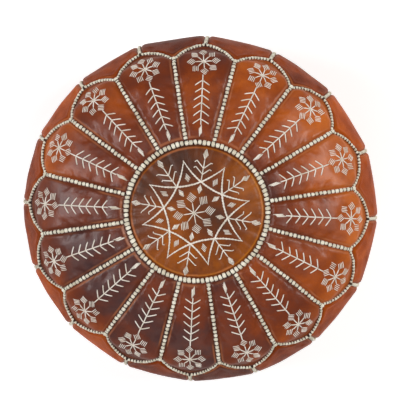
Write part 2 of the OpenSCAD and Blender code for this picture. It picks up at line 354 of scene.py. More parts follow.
def cubic_weights(t):
    """Catmull-Rom weights of four neighbours, at a place between the middle two."""
    return np.stack([((2 - t) * t - 1) * t, (3 * t - 5) * t * t + 2, ((4 - 3 * t) * t + 1) * t,
                     (t - 1) * t * t]) / 2


def swell_at(theta, s):
    """Smooth reading of the swelling at any place on the skin."""
    edge = scallop_s(theta)
    first_side = DISC_ROWS - 1 + TOP_ROWS
    row = np.where(s < MEDALLION_S, s / MEDALLION_S * DISC_ROWS - 1,
                   np.where(s < edge, DISC_ROWS - 1 + TOP_ROWS * (s - MEDALLION_S) / (edge - MEDALLION_S),
                            first_side + SIDE_ROWS * (s - edge) / (BASE_S - edge)))
    row = np.clip(row, 0, len(SWELL) - 1)
    col = (theta / STEP * 12) % COLS
    j, i = np.floor(row).astype(int), np.floor(col).astype(int)
    wj, wi = cubic_weights(row - j), cubic_weights(col - i)
    total = 0
    for a in range(4):
        jj = np.clip(j + a - 1, 0, len(SWELL) - 1)
        for b in range(4):
            total = total + SWELL[jj, (i + b - 1) % COLS] * (wj[a] * wi[b])[..., None]
    return total


def waves(along, seed, lengths):
    """Uneven ripples from -1 to 1, out of a few sine waves."""
    rng = np.random.default_rng(seed)
    total = 0
    for length in lengths:
        total = total + np.sin(2 * math.pi * (along / length + rng.random()))
    return total / len(lengths)


# Height of the leather over the form beside a seam, by distance from the seam, in millimetres:
# a ridge under the thread, a groove beside it, then the swell of the panel
EDGE_AT = [0.0, 0.8, 1.5, 2.2, 3.0, 4.0, 5.2, 7.0, 9.5, 13.0, 18.0]
EDGE_LIFT = [0.5, 0.55, 0.1, -1.0, -1.9, -1.9, -1.0, 0.1, 0.42, 0.2, 0.0]
RING_WIDE = 1.3
SEAM_WIDE = 1.0
SCALLOP_WIDE = 0.8
SIDE_WIDE = 0.75


def beside_seam(distance, wide):
    """Lift of the leather at a distance from a seam of a given width."""
    return np.interp(distance / MM / wide, EDGE_AT, EDGE_LIFT) * wide * MM


def puckers(distance, along, seed):
    """Small gathers that the thread pulls up along a seam; they fade into the panel."""
    ridge = 1 - np.abs(waves(along, seed, (0.0093, 0.0141, 0.0227))) * 2
    reach = 0.011 + 0.006 * waves(along, seed + 50, (0.031, 0.047))
    fade = np.clip((distance - 0.0026) / 0.002, 0, 1) * np.exp(-np.maximum(distance - 0.004, 0) / reach)
    return 0.00034 * ridge * fade


def seam_distances(theta, s):
    """Distance to each seam round a place, with the place along it and the seam's width."""
    r = outline(s)[0]
    on_top = s < scallop_s(theta)
    to_scallop = np.abs(scallop_s(theta) - s) * scallop_slant(theta)
    off = np.where(on_top, np.abs(from_tip(theta + HALF)), np.abs(from_tip(theta)))
    to_line = np.where(s < MEDALLION_S, 1.0, r * off)
    return [(np.abs(s - MEDALLION_S), theta * MEDALLION_R, RING_WIDE),
            (to_scallop, theta * VALLEY_R, SCALLOP_WIDE),
            (to_line, s + 7 * np.round(theta / STEP * 2), np.where(on_top, SEAM_WIDE, SIDE_WIDE)),
            (np.abs(BASE_S - s), theta * BASE_R, SEAM_WIDE)]


def leather_at(theta, s, lift=0.0):
    """Points on the outer face of the leather, the outward directions, and the nearest seam's distance."""
    base, out = on_form(theta, s)
    near = None
    height = np.zeros_like(s) + lift
    gather = np.zeros_like(s)
    for k, (distance, along, wide) in enumerate(seam_distances(theta, s)):
        scaled = distance / wide
        near = scaled if near is None else np.minimum(near, scaled)
        width = wide if k == 0 else np.where(scaled <= near, wide, width)
        gather = gather + puckers(distance, along, 11 * k) * np.where(s < MEDALLION_S, 0.4, 1.0)
    height = height + beside_seam(near * width, width) + gather
    lumps = waves(base[..., 0] + 0.4 * base[..., 2], 3, (0.083, 0.139)) \
        * waves(base[..., 1] - 0.3 * base[..., 2], 4, (0.071, 0.157))
    height = height + 0.0012 * lumps * np.clip(near / 0.02, 0, 1)
    place = base + swell_at(theta, s) + out * height[..., None]
    place[..., 2] = np.maximum(place[..., 2], 0.0002)
    return place, out, near


# ---- Leather ----
# Goat hide dyed by hand in cognac, brown and plum, waxed and rubbed: the dye is patchy,
# the grain is fine; the grooves by the seams are painted dark as shadow, and raised edges carry a painted
# highlight.
def new_group(name, inputs, outputs):
    group = bpy.data.node_groups.new(name, "ShaderNodeTree")
    for label, kind, value in inputs:
        socket = group.interface.new_socket(label, in_out="INPUT", socket_type=kind)
        socket.default_value = value
    for label, kind in outputs:
        group.interface.new_socket(label, in_out="OUTPUT", socket_type=kind)
    return group, group.nodes.new("NodeGroupInput"), group.nodes.new("NodeGroupOutput")


def add_node(tree, kind, **values):
    """A node with values for its sockets by name, or for its own settings."""
    node = tree.nodes.new(kind)
    for key, value in values.items():
        if hasattr(node, key):
            setattr(node, key, value)
        else:
            node.inputs[key.replace("_", " ")].default_value = value
    return node


def math_node(tree, operation, a, b=None, clamp=False):
    node = tree.nodes.new("ShaderNodeMath")
    node.operation = operation
    node.use_clamp = clamp
    for slot, value in ((0, a), (1, b)):
        if isinstance(value, bpy.types.NodeSocket):
            tree.links.new(value, node.inputs[slot])
        elif value is not None:
            node.inputs[slot].default_value = value
    return node.outputs[0]


def times(tree, a, b):
    return math_node(tree, "MULTIPLY", a, b)


def plus(tree, a, b, clamp=False):
    return math_node(tree, "ADD", a, b, clamp)


def minus(tree, a, b):
    return math_node(tree, "SUBTRACT", a, b)


def centred(tree, value, amount):
    """A noise moved to lie evenly round nought, and scaled."""
    return times(tree, minus(tree, value, 0.5), amount)


def ramp_between(tree, value, low, high):
    """0 below low, 1 above high, smooth between."""
    node = add_node(tree, "ShaderNodeMapRange", interpolation_type="SMOOTHSTEP")
    tree.links.new(value, node.inputs["Value"])
    node.inputs["From Min"].default_value = low
    node.inputs["From Max"].default_value = high
    return node.outputs["Result"]


def mix_colours(tree, factor, a, b, blend="MIX"):
    node = tree.nodes.new("ShaderNodeMix")
    node.data_type = "RGBA"
    node.blend_type = blend
    for slot, value in ((0, factor), (6, a), (7, b)):
        if isinstance(value, bpy.types.NodeSocket):
            tree.links.new(value, node.inputs[slot])
        else:
            node.inputs[slot].default_value = value
    return node.outputs[2]


def places(tree):
    return tree.nodes.new("ShaderNodeTexCoord").outputs["Object"]


def noise(tree, where, scale, detail=4, rough=0.55, warp=0.0):
    node = add_node(tree, "ShaderNodeTexNoise", Scale=scale, Detail=detail, Roughness=rough,
                    Distortion=warp)
    tree.links.new(where, node.inputs["Vector"])
    return node.outputs["Fac"]


def cell_edges(tree, where, scale, width):
    """Thin valleys round small cells: pores when fine, creases when coarse."""
    cells = add_node(tree, "ShaderNodeTexVoronoi", feature="DISTANCE_TO_EDGE", Scale=scale)
    tree.links.new(where, cells.inputs["Vector"])
    return ramp_between(tree, cells.outputs["Distance"], 0.0, width)


def roughen(tree, shader, height, strength, distance):
    """Relief on a material's surface, from a height."""
    bump = add_node(tree, "ShaderNodeBump", Strength=strength, Distance=distance)
    tree.links.new(height, bump.inputs["Height"])
    tree.links.new(bump.outputs["Normal"], shader.inputs["Normal"])


def make_hide_group():
    """Colour, roughness and height of the dyed hide, from its tone and the nearest seam; beside the seams
    it carries painted shadow and painted highlight.
    """
    group, given, put = new_group(
        "dyed_hide", [("Tone", "NodeSocketFloat", 0.4), ("Seam", "NodeSocketFloat", 20.0),
                      ("Tint", "NodeSocketColor", (1, 1, 1, 1)), ("Dullness", "NodeSocketFloat", 0.0)],
        [("Color", "NodeSocketColor"), ("Roughness", "NodeSocketFloat"), ("Height", "NodeSocketFloat")])
    where = places(group)
    patch = noise(group, where, 13, 3, 0.5, 0.6)
    cloud = noise(group, where, 46, 5, 0.6, 0.3)
    speck = noise(group, where, 420, 3, 0.7)
    tone = plus(group, given.outputs["Tone"], centred(group, patch, 0.75))
    tone = plus(group, tone, centred(group, cloud, 0.42))
    tone = plus(group, tone, centred(group, speck, 0.16), True)
    dye = group.nodes.new("ShaderNodeValToRGB")
    dye.color_ramp.elements[0].color = srgb(205, 106, 30)
    dye.color_ramp.elements[1].color = srgb(62, 35, 36)
    for at, colour in ((0.28, (163, 75, 16)), (0.55, (119, 50, 18)), (0.8, (84, 41, 32))):
        dye.color_ramp.elements.new(at).color = srgb(*colour)
    group.links.new(tone, dye.inputs["Fac"])
    tinted = mix_colours(group, 1.0, dye.outputs["Color"], given.outputs["Tint"], "MULTIPLY")
    seam = given.outputs["Seam"]
    ragged = plus(group, seam, centred(group, cloud, 5))
    pooled = minus(group, 1.0, ramp_between(group, ragged, 2.0, 13.0))
    colour = mix_colours(group, times(group, pooled, 0.26), tinted, srgb(74, 36, 20))
    # Painted highlight: a light tan band 4 to 9 mm from each seam, in patches, along the raised panel
    # edges.
    rim = times(group, ramp_between(group, seam, 4.2, 5.4),
                minus(group, 1.0, ramp_between(group, seam, 6.2, 8.6)))
    painted_edge_highlight = times(group, rim, ramp_between(group, patch, 0.46, 0.62))
    colour = mix_colours(group, times(group, painted_edge_highlight, 0.42), colour, srgb(206, 128, 84))
    # Painted shadow: within about 3 mm of a seam, under the thread and in the groove beside it, the leather
    # is painted near-black.
    dark = minus(group, 1.0, ramp_between(group, seam, 1.9, 3.2))
    colour = mix_colours(group, times(group, dark, 0.88), colour, srgb(34, 20, 14))
    group.links.new(colour, put.inputs["Color"])
    rough = plus(group, 0.26, times(group, cloud, 0.15))
    rough = plus(group, rough, given.outputs["Dullness"])
    group.links.new(plus(group, rough, times(group, dark, 0.3), True), put.inputs["Roughness"])
    pores = times(group, cell_edges(group, where, 620.0, 0.16), 0.35)
    creases = times(group, cell_edges(group, where, 95.0, 0.05), 0.18)
    height = plus(group, plus(group, pores, creases), times(group, noise(group, where, 190, 4), 0.9))
    group.links.new(height, put.inputs["Height"])
    return group


def make_leather(name, specular=0.3, coat=0.15, tint=(1, 1, 1, 1), dullness=0.0):
    """A leather material. Its tone and the seams come from the mesh."""
    leather, tree, shader = new_material(name)
    hide = tree.nodes.new("ShaderNodeGroup")
    hide.node_tree = HIDE
    for label in ("tone", "seam"):
        read = add_node(tree, "ShaderNodeAttribute", attribute_name=label)
        tree.links.new(read.outputs["Fac"], hide.inputs[label.capitalize()])
    hide.inputs["Tint"].default_value = tint
    hide.inputs["Dullness"].default_value = dullness
    tree.links.new(hide.outputs["Color"], shader.inputs["Base Color"])
    tree.links.new(hide.outputs["Roughness"], shader.inputs["Roughness"])
    roughen(tree, shader, hide.outputs["Height"], 0.5, 0.0004)
    shader.inputs["Specular IOR Level"].default_value = specular
    shader.inputs["Coat Weight"].default_value = coat
    shader.inputs["Coat Roughness"].default_value = 0.26
    return leather


HIDE = make_hide_group()
LEATHER = make_leather("waxed_leather")
SIDE_LEATHER = make_leather("side_leather", 0.05, 0.0, (1.04, 0.90, 0.60, 1), 0.18)
OCHRE_LEATHER = make_leather("ochre_leather", 0.24, 0.08, (0.93, 1.24, 0.92, 1))


def make_piece(name, co, faces, material, slot, body="pouf", **marks):
    """A mesh that rides on a body. Marks are numbers for each point that materials read."""
    mesh = bpy.data.meshes.new(name)
    mesh.from_pydata(np.asarray(co).tolist(), [], faces if isinstance(faces, list) else faces.tolist())
    for label, values in marks.items():
        values = np.asarray(values, np.float32)
        mesh.attributes.new(label, "FLOAT", "POINT").data.foreach_set("value", values)
    mesh.shade_smooth()
    mesh.materials.append(material)
    piece = add_object(name, mesh)
    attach(piece, body)
    return piece


def slab(outer, inner, closed=False):
    """Points and faces of a plate between two grids; a closed one wraps in its columns."""
    rows, cols = outer.shape[:2]
    n = rows * cols
    grid = np.arange(n).reshape(rows, cols)
    right = np.roll(grid, -1, 1) if closed else grid[:, 1:]
    left = grid if closed else grid[:, :-1]
    skin = np.stack([left[:-1], left[1:], right[1:], right[:-1]], -1).reshape(-1, 4)
    walls = [np.stack([a, a + n, b + n, b], -1) for a, b in ((right[0], left[0]), (left[-1], right[-1]))]
    if not closed:
        walls.append(np.stack([grid[:-1, 0], grid[:-1, 0] + n, grid[1:, 0] + n, grid[1:, 0]], -1))
        walls.append(np.stack([grid[1:, -1], grid[1:, -1] + n, grid[:-1, -1] + n, grid[:-1, -1]], -1))
    faces = np.vstack([skin, skin[:, ::-1] + n] + walls)
    return np.vstack([outer.reshape(-1, 3), inner.reshape(-1, 3)]), faces


EDGE_STEPS = np.array([0.25, 0.8, 1.3, 1.8, 2.3, 2.8, 3.4, 4.1, 4.9, 5.8, 6.9, 8.2]) * MM


def stations(length, middle, first=1.0, last=1.0):
    """Places along a length: close together beside the seam at each end, even between."""
    length = np.asarray(length, float)[..., None]
    head = EDGE_STEPS * first + 0 * length
    tail = length - EDGE_STEPS[::-1] * last
    share = np.linspace(0, 1, middle + 2)[1:-1]
    between = head[..., -1:] + (tail[..., :1] - head[..., -1:]) * share
    return np.concatenate([head, between, tail], -1)


LEATHER_T = 0.0018


def leather_plate(name, theta, s, tone, leather, slot, *nodes):
    """A leather piece with thickness over a grid of places on the skin."""
    outer, out, near = leather_at(theta, s)
    inner = outer - out * LEATHER_T
    co, faces = slab(outer, inner)
    seam = np.tile((near / MM).ravel(), 2)
    piece = make_piece(name, co, faces, leather, slot, tone=np.tile(tone.ravel(), 2), seam=seam)
    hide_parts(*nodes)
    return piece


# ---- Filling and inner bag ----
# Fibre is packed into a round bag of plain cotton cloth, which fills the leather
# and stands clear of the zip in a channel along the base.
BAG_DEPTH = 0.0068
FILLING_DEPTH = 0.0095
HOLLOW_HALF = 0.036


def inside_shape(depth, rows, cols, floor_z):
    """A closed round shape under the skin, with a hollow along X over the zip."""
    theta = np.arange(cols) * 2 * math.pi / cols
    end = FOOT_END + FOOT_X
    s = np.linspace(0.004, end - 0.004, rows)[:, None] + 0 * theta
    angle = np.broadcast_to(theta, s.shape)
    base, _ = on_form(angle, s, np.full(s.shape, -depth))
    base = base + swell_at(angle, np.minimum(s, BASE_S)) * np.clip((BASE_S - s) / 0.02, 0, 1)[..., None]
    r = np.hypot(base[..., 0], base[..., 1])
    hollow = 1 / (1 + np.exp((np.abs(base[..., 1]) - HOLLOW_HALF) / 0.0016))
    lowest = floor_z + 0.0105 * hollow + 0.003 * np.clip((r - 0.170) / 0.02, 0, 1)
    base[..., 2] = np.maximum(base[..., 2], lowest)
    return theta, s, base


def closed_form(shape):
    """Points and faces of a grid wrapped in its columns, with a fan over its first and last rows."""
    rows, cols = shape.shape[:2]
    co = np.vstack([shape.reshape(-1, 3), shape[0].mean(0), shape[-1].mean(0)])
    top, bottom = rows * cols, rows * cols + 1
    last = (rows - 1) * cols
    faces = wrapped_faces(rows, cols)
    faces += [(top, i, (i + 1) % cols) for i in range(cols)]
    faces += [(bottom, last + (i + 1) % cols, last + i) for i in range(cols)]
    return co, faces


def make_cloth(name, thread, gap, per_metre, sheen=0.4):
    """Plain woven cloth: two sets of threads at right angles, with slubs."""
    cloth, tree, shader = new_material(name)
    where = places(tree)
    weave = []
    for direction in ("X", "Y"):
        bands = add_node(tree, "ShaderNodeTexWave", wave_type="BANDS", bands_direction=direction,
                         Scale=per_metre, Distortion=1.2, Detail=2.0)
        tree.links.new(where, bands.inputs["Vector"])
        weave.append(bands.outputs["Fac"])
    crossed = times(tree, *weave)
    slub = noise(tree, where, 120, 3)
    shade = plus(tree, times(tree, crossed, 0.7), times(tree, slub, 0.5), True)
    tree.links.new(mix_colours(tree, shade, srgb(*gap), srgb(*thread)), shader.inputs["Base Color"])
    tree.links.new(minus(tree, 0.95, times(tree, crossed, 0.2)), shader.inputs["Roughness"])
    roughen(tree, shader, shade, 0.5, 0.0003)
    shader.inputs["Sheen Weight"].default_value = sheen
    return cloth


def make_bag():
    theta, s, shape = inside_shape(BAG_DEPTH, 130, 192, 0.0042)
    gathers = waves(theta[None, :] * 0.25 + 0.1 * s, 21, (0.011, 0.017, 0.029))
    band = np.exp(-((s - MEDALLION_S * 0.35) / 0.03) ** 2) + np.exp(-((s - 0.40) / 0.09) ** 2)
    out = on_form(np.broadcast_to(theta, s.shape), s)[1]
    shape = shape + out * (0.0005 * gathers * band)[..., None]
    cotton = make_cloth("bag_cotton", (226, 216, 192), (168, 154, 128), 260)
    bag = make_piece("cotton_bag", *closed_form(shape), cotton, "bag_cotton")
    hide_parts("inner_bag")


def make_fibre():
    """White fibre stuffing: soft tufts that catch light at their tips."""
    fibre, tree, shader = new_material("fibre")
    tuft = noise(tree, places(tree), 90, 6, 0.7, 1.5)
    colour = mix_colours(tree, tuft, srgb(190, 182, 166), srgb(240, 236, 226))
    tree.links.new(colour, shader.inputs["Base Color"])
    roughen(tree, shader, tuft, 0.9, 0.002)
    shader.inputs["Roughness"].default_value = 0.95
    shader.inputs["Sheen Weight"].default_value = 0.5
    return fibre


def make_filling():
    theta, s, shape = inside_shape(FILLING_DEPTH, 110, 160, 0.0074)
    out = on_form(np.broadcast_to(theta, s.shape), s)[1]
    lumps = waves(shape[..., 0] * 1.3 + shape[..., 2], 31, (0.023, 0.041)) \
        * waves(shape[..., 1] - shape[..., 2], 32, (0.019, 0.053))
    shape = shape - out * (0.0015 * np.abs(lumps))[..., None]
    filling = make_piece("fibre_filling", *closed_form(shape), make_fibre(), "filling_fibre")
    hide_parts("filling")


make_filling()
make_bag()


# ---- Threads ----
# Cream cotton and silk thread, several strands twisted together. It is used for the overcast
# seams, the rows of stitching and the embroidery, which the sections below sew.
def new_yarn():
    return {"co": [], "faces": [], "uv": [], "shade": [], "n": 0}


def lay_rings(yarn, rings, along, shade):
    """Adds one strand, given its rings of points, to a yarn."""
    rows, sides = rings.shape[:2]
    rings[..., 2] = np.maximum(rings[..., 2], 0.0001)
    grid = yarn["n"] + np.arange(rows * sides).reshape(rows, sides)
    right = np.roll(grid, -1, 1)
    yarn["faces"] += np.stack([grid[:-1], right[:-1], right[1:], grid[1:]], -1).reshape(-1, 4).tolist()
    yarn["faces"] += [grid[0, ::-1].tolist(), grid[-1].tolist()]
    turn = np.arange(sides) / sides
    u0, u1 = along[:-1, None] + 0 * turn, along[1:, None] + 0 * turn
    v0, v1 = 0 * u0 + turn, 0 * u0 + turn + 1 / sides
    yarn["uv"].append(np.stack([u0, v0, u0, v1, u1, v1, u1, v0], -1).reshape(-1, 2))
    yarn["uv"].append(np.zeros((2 * sides, 2)))
    yarn["co"].append(rings.reshape(-1, 3))
    yarn["shade"].append(np.full(rows * sides, shade))
    yarn["n"] += rows * sides


def strand(yarn, path, out, radius, shade, sides):
    """A round strand along a path, with the outward direction at each point."""
    path, out = np.asarray(path), np.asarray(out)
    run = np.gradient(path, axis=0)
    run /= np.linalg.norm(run, axis=1, keepdims=True)
    across = np.cross(run, out)
    across /= np.linalg.norm(across, axis=1, keepdims=True)
    up = np.cross(across, run)
    a = 2 * math.pi * np.arange(sides)[:, None] / sides
    rings = path[:, None] + radius * (np.cos(a) * across[:, None] + np.sin(a) * up[:, None])
    along = np.concatenate([[0], np.cumsum(np.linalg.norm(np.diff(path, axis=0), axis=1))]) / MM
    lay_rings(yarn, rings, along, shade)


def make_thread(name, light, dark, plies, twist):
    """Twisted thread: slanted plies from the thread's own coordinates, with a soft sheen."""
    thread, tree, shader = new_material(name)
    lengthwise = tree.nodes.new("ShaderNodeSeparateXYZ")
    tree.links.new(add_node(tree, "ShaderNodeUVMap", uv_map="thread").outputs["UV"], lengthwise.inputs[0])
    along, around = lengthwise.outputs["X"], lengthwise.outputs["Y"]
    turns = plus(tree, times(tree, along, twist), times(tree, around, plies))
    ply = math_node(tree, "ABSOLUTE", math_node(tree, "SINE", times(tree, turns, math.pi)))
    where = places(tree)
    fuzz = noise(tree, where, 1500, 3, 0.6)
    stain = noise(tree, where, 60, 3, 0.6)
    shade = add_node(tree, "ShaderNodeAttribute", attribute_name="shade")
    tint = plus(tree, times(tree, ply, 0.45), times(tree, fuzz, 0.35))
    tint = plus(tree, tint, times(tree, shade.outputs["Fac"], 0.5), True)
    colour = mix_colours(tree, tint, srgb(*dark), srgb(*light))
    grime = times(tree, ramp_between(tree, stain, 0.5, 0.75), 0.35)
    colour = mix_colours(tree, grime, colour, srgb(176, 152, 112))
    tree.links.new(colour, shader.inputs["Base Color"])
    tree.links.new(minus(tree, 0.85, times(tree, ply, 0.25)), shader.inputs["Roughness"])
    roughen(tree, shader, plus(tree, ply, times(tree, fuzz, 0.4)), 0.6, 0.00025)
    shader.inputs["Sheen Weight"].default_value = 0.3
    return thread


SEAM_THREAD = make_thread("seam_thread", (252, 248, 230), (176, 164, 132), 3, 0.5)
SILK = make_thread("silk_thread", (255, 250, 240), (208, 194, 172), 2, 0.9)


def tie_off(yarn, name, material, slot, *nodes):
    """Makes the piece out of a yarn's strands."""
    piece = make_piece(name, np.vstack(yarn["co"]), yarn["faces"], material, slot,
                       shade=np.concatenate(yarn["shade"]))
    layer = piece.data.uv_layers.new(name="thread")
    layer.data.foreach_set("uv", np.vstack(yarn["uv"]).astype(np.float32).ravel())
    if nodes:
        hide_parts(*nodes)


# ---- Base ----
# The round base is cut in two halves of thicker, plain brown leather. Each half lies flat on
# the floor and turns up along the middle, where it is stitched to its side of the zip.
LIP_Y = 0.008
SHELF_Y = 0.014
CHANNEL_Y = 0.030
SHELF_Z = 0.008
BASE_T = 0.002
BASE_TONE = 0.62
RUN_PITCH = 0.0052
RUN_R = 0.00045


def hand(side):
    return "left" if side > 0 else "right"


def base_height(y, to_seam):
    """Height of the underside: flat, up the ramp to the zip, and up at the sewn rim."""
    t = np.clip((CHANNEL_Y - y) / (CHANNEL_Y - SHELF_Y), 0, 1)
    ramp = SHELF_Z * t * t * (3 - 2 * t)
    rim = np.interp(to_seam / MM, [0, 1.2, 2.5, 4.5, 8], [2.4, 2.2, 1.3, 0.35, 0])
    return np.maximum(ramp, rim * MM)


def make_base_half(side):
    cols, rows = 150, 90
    rim_r = BASE_R - 0.0006
    a0 = math.asin((LIP_Y + 0.002) / rim_r)
    a = np.linspace(a0, math.pi - a0, cols)
    x = rim_r * np.cos(a)
    top_y = rim_r * np.sin(a)
    share = np.linspace(0, 1, rows)
    share = share - 0.10 * np.sin(2 * math.pi * share) / (2 * math.pi)
    y = LIP_Y + (top_y[:, None] - LIP_Y) * share[None, :]
    xx = np.broadcast_to(x[:, None], y.shape)
    near = rim_r - np.hypot(xx, y)
    low = base_height(y, near)
    low = low + 0.0002 * waves(xx, 5, (0.013, 0.031)) * np.exp(-np.abs(y - SHELF_Y) / 0.006)
    under = np.stack([xx, side * y, low], -1)
    over = under + np.array([0, 0, BASE_T])
    co, faces = slab(under, over) if side < 0 else slab(over, under)
    seam = np.minimum(near, y - LIP_Y + 0.003) / MM
    half = make_piece(f"base_leather_{hand(side)}", co, faces, LEATHER, "base_leather",
                      tone=np.full(2 * y.size, BASE_TONE), seam=np.tile(seam.ravel(), 2))
    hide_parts(f"base_half_{hand(side)}")


def running_stitches(yarn, side, y, z):
    """A row of short stitches along X on the underside of the base."""
    rng = np.random.default_rng(40 + side)
    t = np.linspace(-1, 1, 7)
    for x in np.arange(-0.172, 0.172, RUN_PITCH):
        path = np.stack([x + t * RUN_PITCH * 0.36, np.full(7, side * y) + rng.normal(0, 0.00008),
                         z - 0.0004 * (1 - t ** 4) + 0.0004], -1)
        strand(yarn, path, np.tile([0, 0, -1.0], (7, 1)), RUN_R, rng.random(), 6)


make_base_half(1)
make_base_half(-1)
sewing = new_yarn()
for side in (-1, 1):
    running_stitches(sewing, side, 0.0105, SHELF_Z)
    running_stitches(sewing, side, 0.0130, SHELF_Z + 0.0001)
tie_off(sewing, "zip_stitching", SEAM_THREAD, "seam_thread")


# ---- Zip ----
# A brown coil zip across the base: woven tapes sewn above the leather, a moulded nylon coil on
# each tape, metal stops at both ends, and a slider whose pull tab turns on a pin.
ZIP_BROWN = (86, 54, 34)


def make_plastic(name, colour):
    plastic, tree, shader = new_material(name)
    dull = noise(tree, places(tree), 300, 3)
    lighter = [min(255, c + 22) for c in colour]
    tree.links.new(mix_colours(tree, dull, srgb(*colour), srgb(*lighter)), shader.inputs["Base Color"])
    tree.links.new(plus(tree, 0.3, times(tree, dull, 0.2)), shader.inputs["Roughness"])
    return plastic


def make_brass():
    """Antique brass: darker in the hollows, bright where fingers rub it, with fine scratches."""
    brass, tree, shader = new_material("antique_brass")
    where = places(tree)
    tarnish = noise(tree, where, 260, 5, 0.6)
    scratch = noise(tree, where, 2400, 2, 0.5, 2.0)
    colour = mix_colours(tree, tarnish, srgb(120, 88, 46), srgb(214, 176, 104))
    tree.links.new(colour, shader.inputs["Base Color"])
    tree.links.new(minus(tree, 0.55, times(tree, tarnish, 0.4)), shader.inputs["Roughness"])
    roughen(tree, shader, scratch, 0.25, 0.0001)
    shader.inputs["Metallic"].default_value = 1.0
    return brass


def make_tape(side):
    """A woven tape with a thicker, ribbed edge where the coil is sewn."""
    low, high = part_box(f"zip_tape_{hand(side)}")
    x = np.linspace(low.x, high.x, 300)[:, None]
    near, far = sorted((abs(low.y), abs(high.y)))
    y = np.linspace(near, far, 26)[None, :]
    ribs = 0.00008 * np.sin(2 * math.pi * x / 0.0024) * np.exp(-(y - 0.001) / 0.004)
    wave = 0.00012 * waves(x + 0 * y, 60 + side, (0.043, 0.071)) * np.clip((y - 0.008) / 0.01, 0, 1)
    under = np.stack([x + 0 * y, side * (y + 0 * x), low.z + 0.0001 + 0 * x * y + np.maximum(wave, 0)], -1)
    over = under.copy()
    over[..., 2] = high.z - 0.0001 + ribs + wave
    co, faces = slab(under, over) if side < 0 else slab(over, under)
    tape = make_piece(f"tape_{hand(side)}", co, faces, TAPE_CLOTH, "zip_tape")
    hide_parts(f"zip_tape_{hand(side)}")


def make_coil(side):
    """One row of the zip: a nylon coil, pressed flat, a turn every 1.5 mm."""
    low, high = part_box(f"zip_coil_{hand(side)}")
    pitch, per_turn, r = 0.0015, 10, 0.00033
    turns = int((high.x - low.x) / pitch) - 1
    t = np.arange(turns * per_turn + 1) / per_turn
    a = 2 * math.pi * t
    mid_y, mid_z = (abs(low.y) + abs(high.y)) / 2, (low.z + high.z) / 2
    half_y, half_z = abs(high.y - low.y) / 2 - r, (high.z - low.z) / 2 - r
    x = low.x + pitch * (t + 0.5) + (0.25 * pitch if side > 0 else 0)
    path = np.stack([x, side * (mid_y + half_y * np.cos(a)), mid_z + half_z * np.sin(a)], -1)
    out = np.stack([0 * a, side * np.cos(a), np.sin(a)], -1)
    yarn = new_yarn()
    strand(yarn, path, out, r, 0.5, 6)
    tie_off(yarn, f"coil_{hand(side)}", NYLON, "zip_coil", f"zip_coil_{hand(side)}")


def cast_metal(name, node, body, radius):
    """A cast metal piece: the node's own shape with its edges rounded."""
    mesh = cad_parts[node].data.copy()
    mesh.name = name
    mesh.materials.clear()
    mesh.materials.append(BRASS)
    shape = bmesh.new()
    shape.from_mesh(mesh)
    bmesh.ops.remove_doubles(shape, verts=shape.verts, dist=1e-6)
    bmesh.ops.dissolve_limit(shape, angle_limit=math.radians(4), verts=shape.verts, edges=shape.edges)
    sharp = [e for e in shape.edges if len(e.link_faces) == 2 and e.calc_face_angle(0) > math.radians(40)]
    bmesh.ops.bevel(shape, geom=sharp, offset=radius, segments=3, profile=0.6, affect="EDGES",
                    clamp_overlap=True)
    bmesh.ops.triangulate(shape, faces=[f for f in shape.faces if len(f.verts) > 4])
    shape.to_mesh(mesh)
    shape.free()
    mesh.shade_smooth()
    piece = add_object(name, mesh)
    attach(piece, body)
    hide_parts(node)


TAPE_CLOTH = make_cloth("zip_tape_cloth", ZIP_BROWN, (52, 32, 22), 420, 0.2)
NYLON = make_plastic("nylon", ZIP_BROWN)
BRASS = make_brass()
for side in (1, -1):
    make_tape(side)
    make_coil(side)
cast_metal("top_stop", "zip_top_stop", "pouf", 0.00035)
cast_metal("bottom_stop", "zip_bottom_stop", "pouf", 0.00035)
cast_metal("slider", "zip_slider", "zip_slider", 0.00018)
cast_metal("pull_tab", "zip_pull_tab", "zip_pull", 0.0003)


# ---- Side panels ----
# Sixteen tall panels of the same hide. Each runs from a pointed top edge, under two half
# scallops, round the shoulder and the belly to the base seam.
SIDE_TONES = [0.18, 0.2, 0.4, 0.42, 0.55, 0.38, 0.2, 0.36, 0.4, 0.3, 0.24, 0.5, 0.55, 0.42, 0.26, 0.24]
SIDE_MIDDLE = 116


def rows_between(start, end, middle, first, last):
    """Rows of lengths down the outline between two seams, for each column."""
    steps = stations(end - start, middle, first, last)
    row = np.arange(steps.shape[2])[:, None, None] + np.zeros(steps.shape[:2] + (1,), int)
    return start + np.take_along_axis(steps, row, 2)[..., 0]


def make_side_panel(k):
    tip = float(scallop_s(0))
    level = tip + stations(BASE_S - tip, SIDE_MIDDLE, SCALLOP_WIDE, SEAM_WIDE)
    r = outline(level)[0][:, None]
    theta = (k + 0.5) * STEP + stations(r[:, 0] * STEP, 40) / r - HALF
    edge = scallop_s(theta)
    s = rows_between(edge, BASE_S + 0 * edge, SIDE_MIDDLE, SCALLOP_WIDE, SEAM_WIDE)
    tone = SIDE_TONES[k] + 0.2 * (s - edge) / (BASE_S - edge) + 0.03
    piece = leather_plate(f"side_leather_{k + 1:02d}", theta, s, tone, SIDE_LEATHER, "side_leather",
                          f"side_panel_{k + 1:02d}")


for k in range(PETALS):
    make_side_panel(k)


# ---- Petal panels ----
# Sixteen petals make the top. Each is narrow at the medallion and ends in a scallop over the
# shoulder, and each took the dye its own way, so the tones differ from petal to petal; some scallop ends
# also carry painted highlight.
TOP_MIDDLE = 66
DYES = ["cognac"] * 4 + ["brown"] * 2 + ["cognac", "brown"] + ["plum"] * 2 + ["cognac"] + ["brown"] * 4 \
    + ["cognac"]
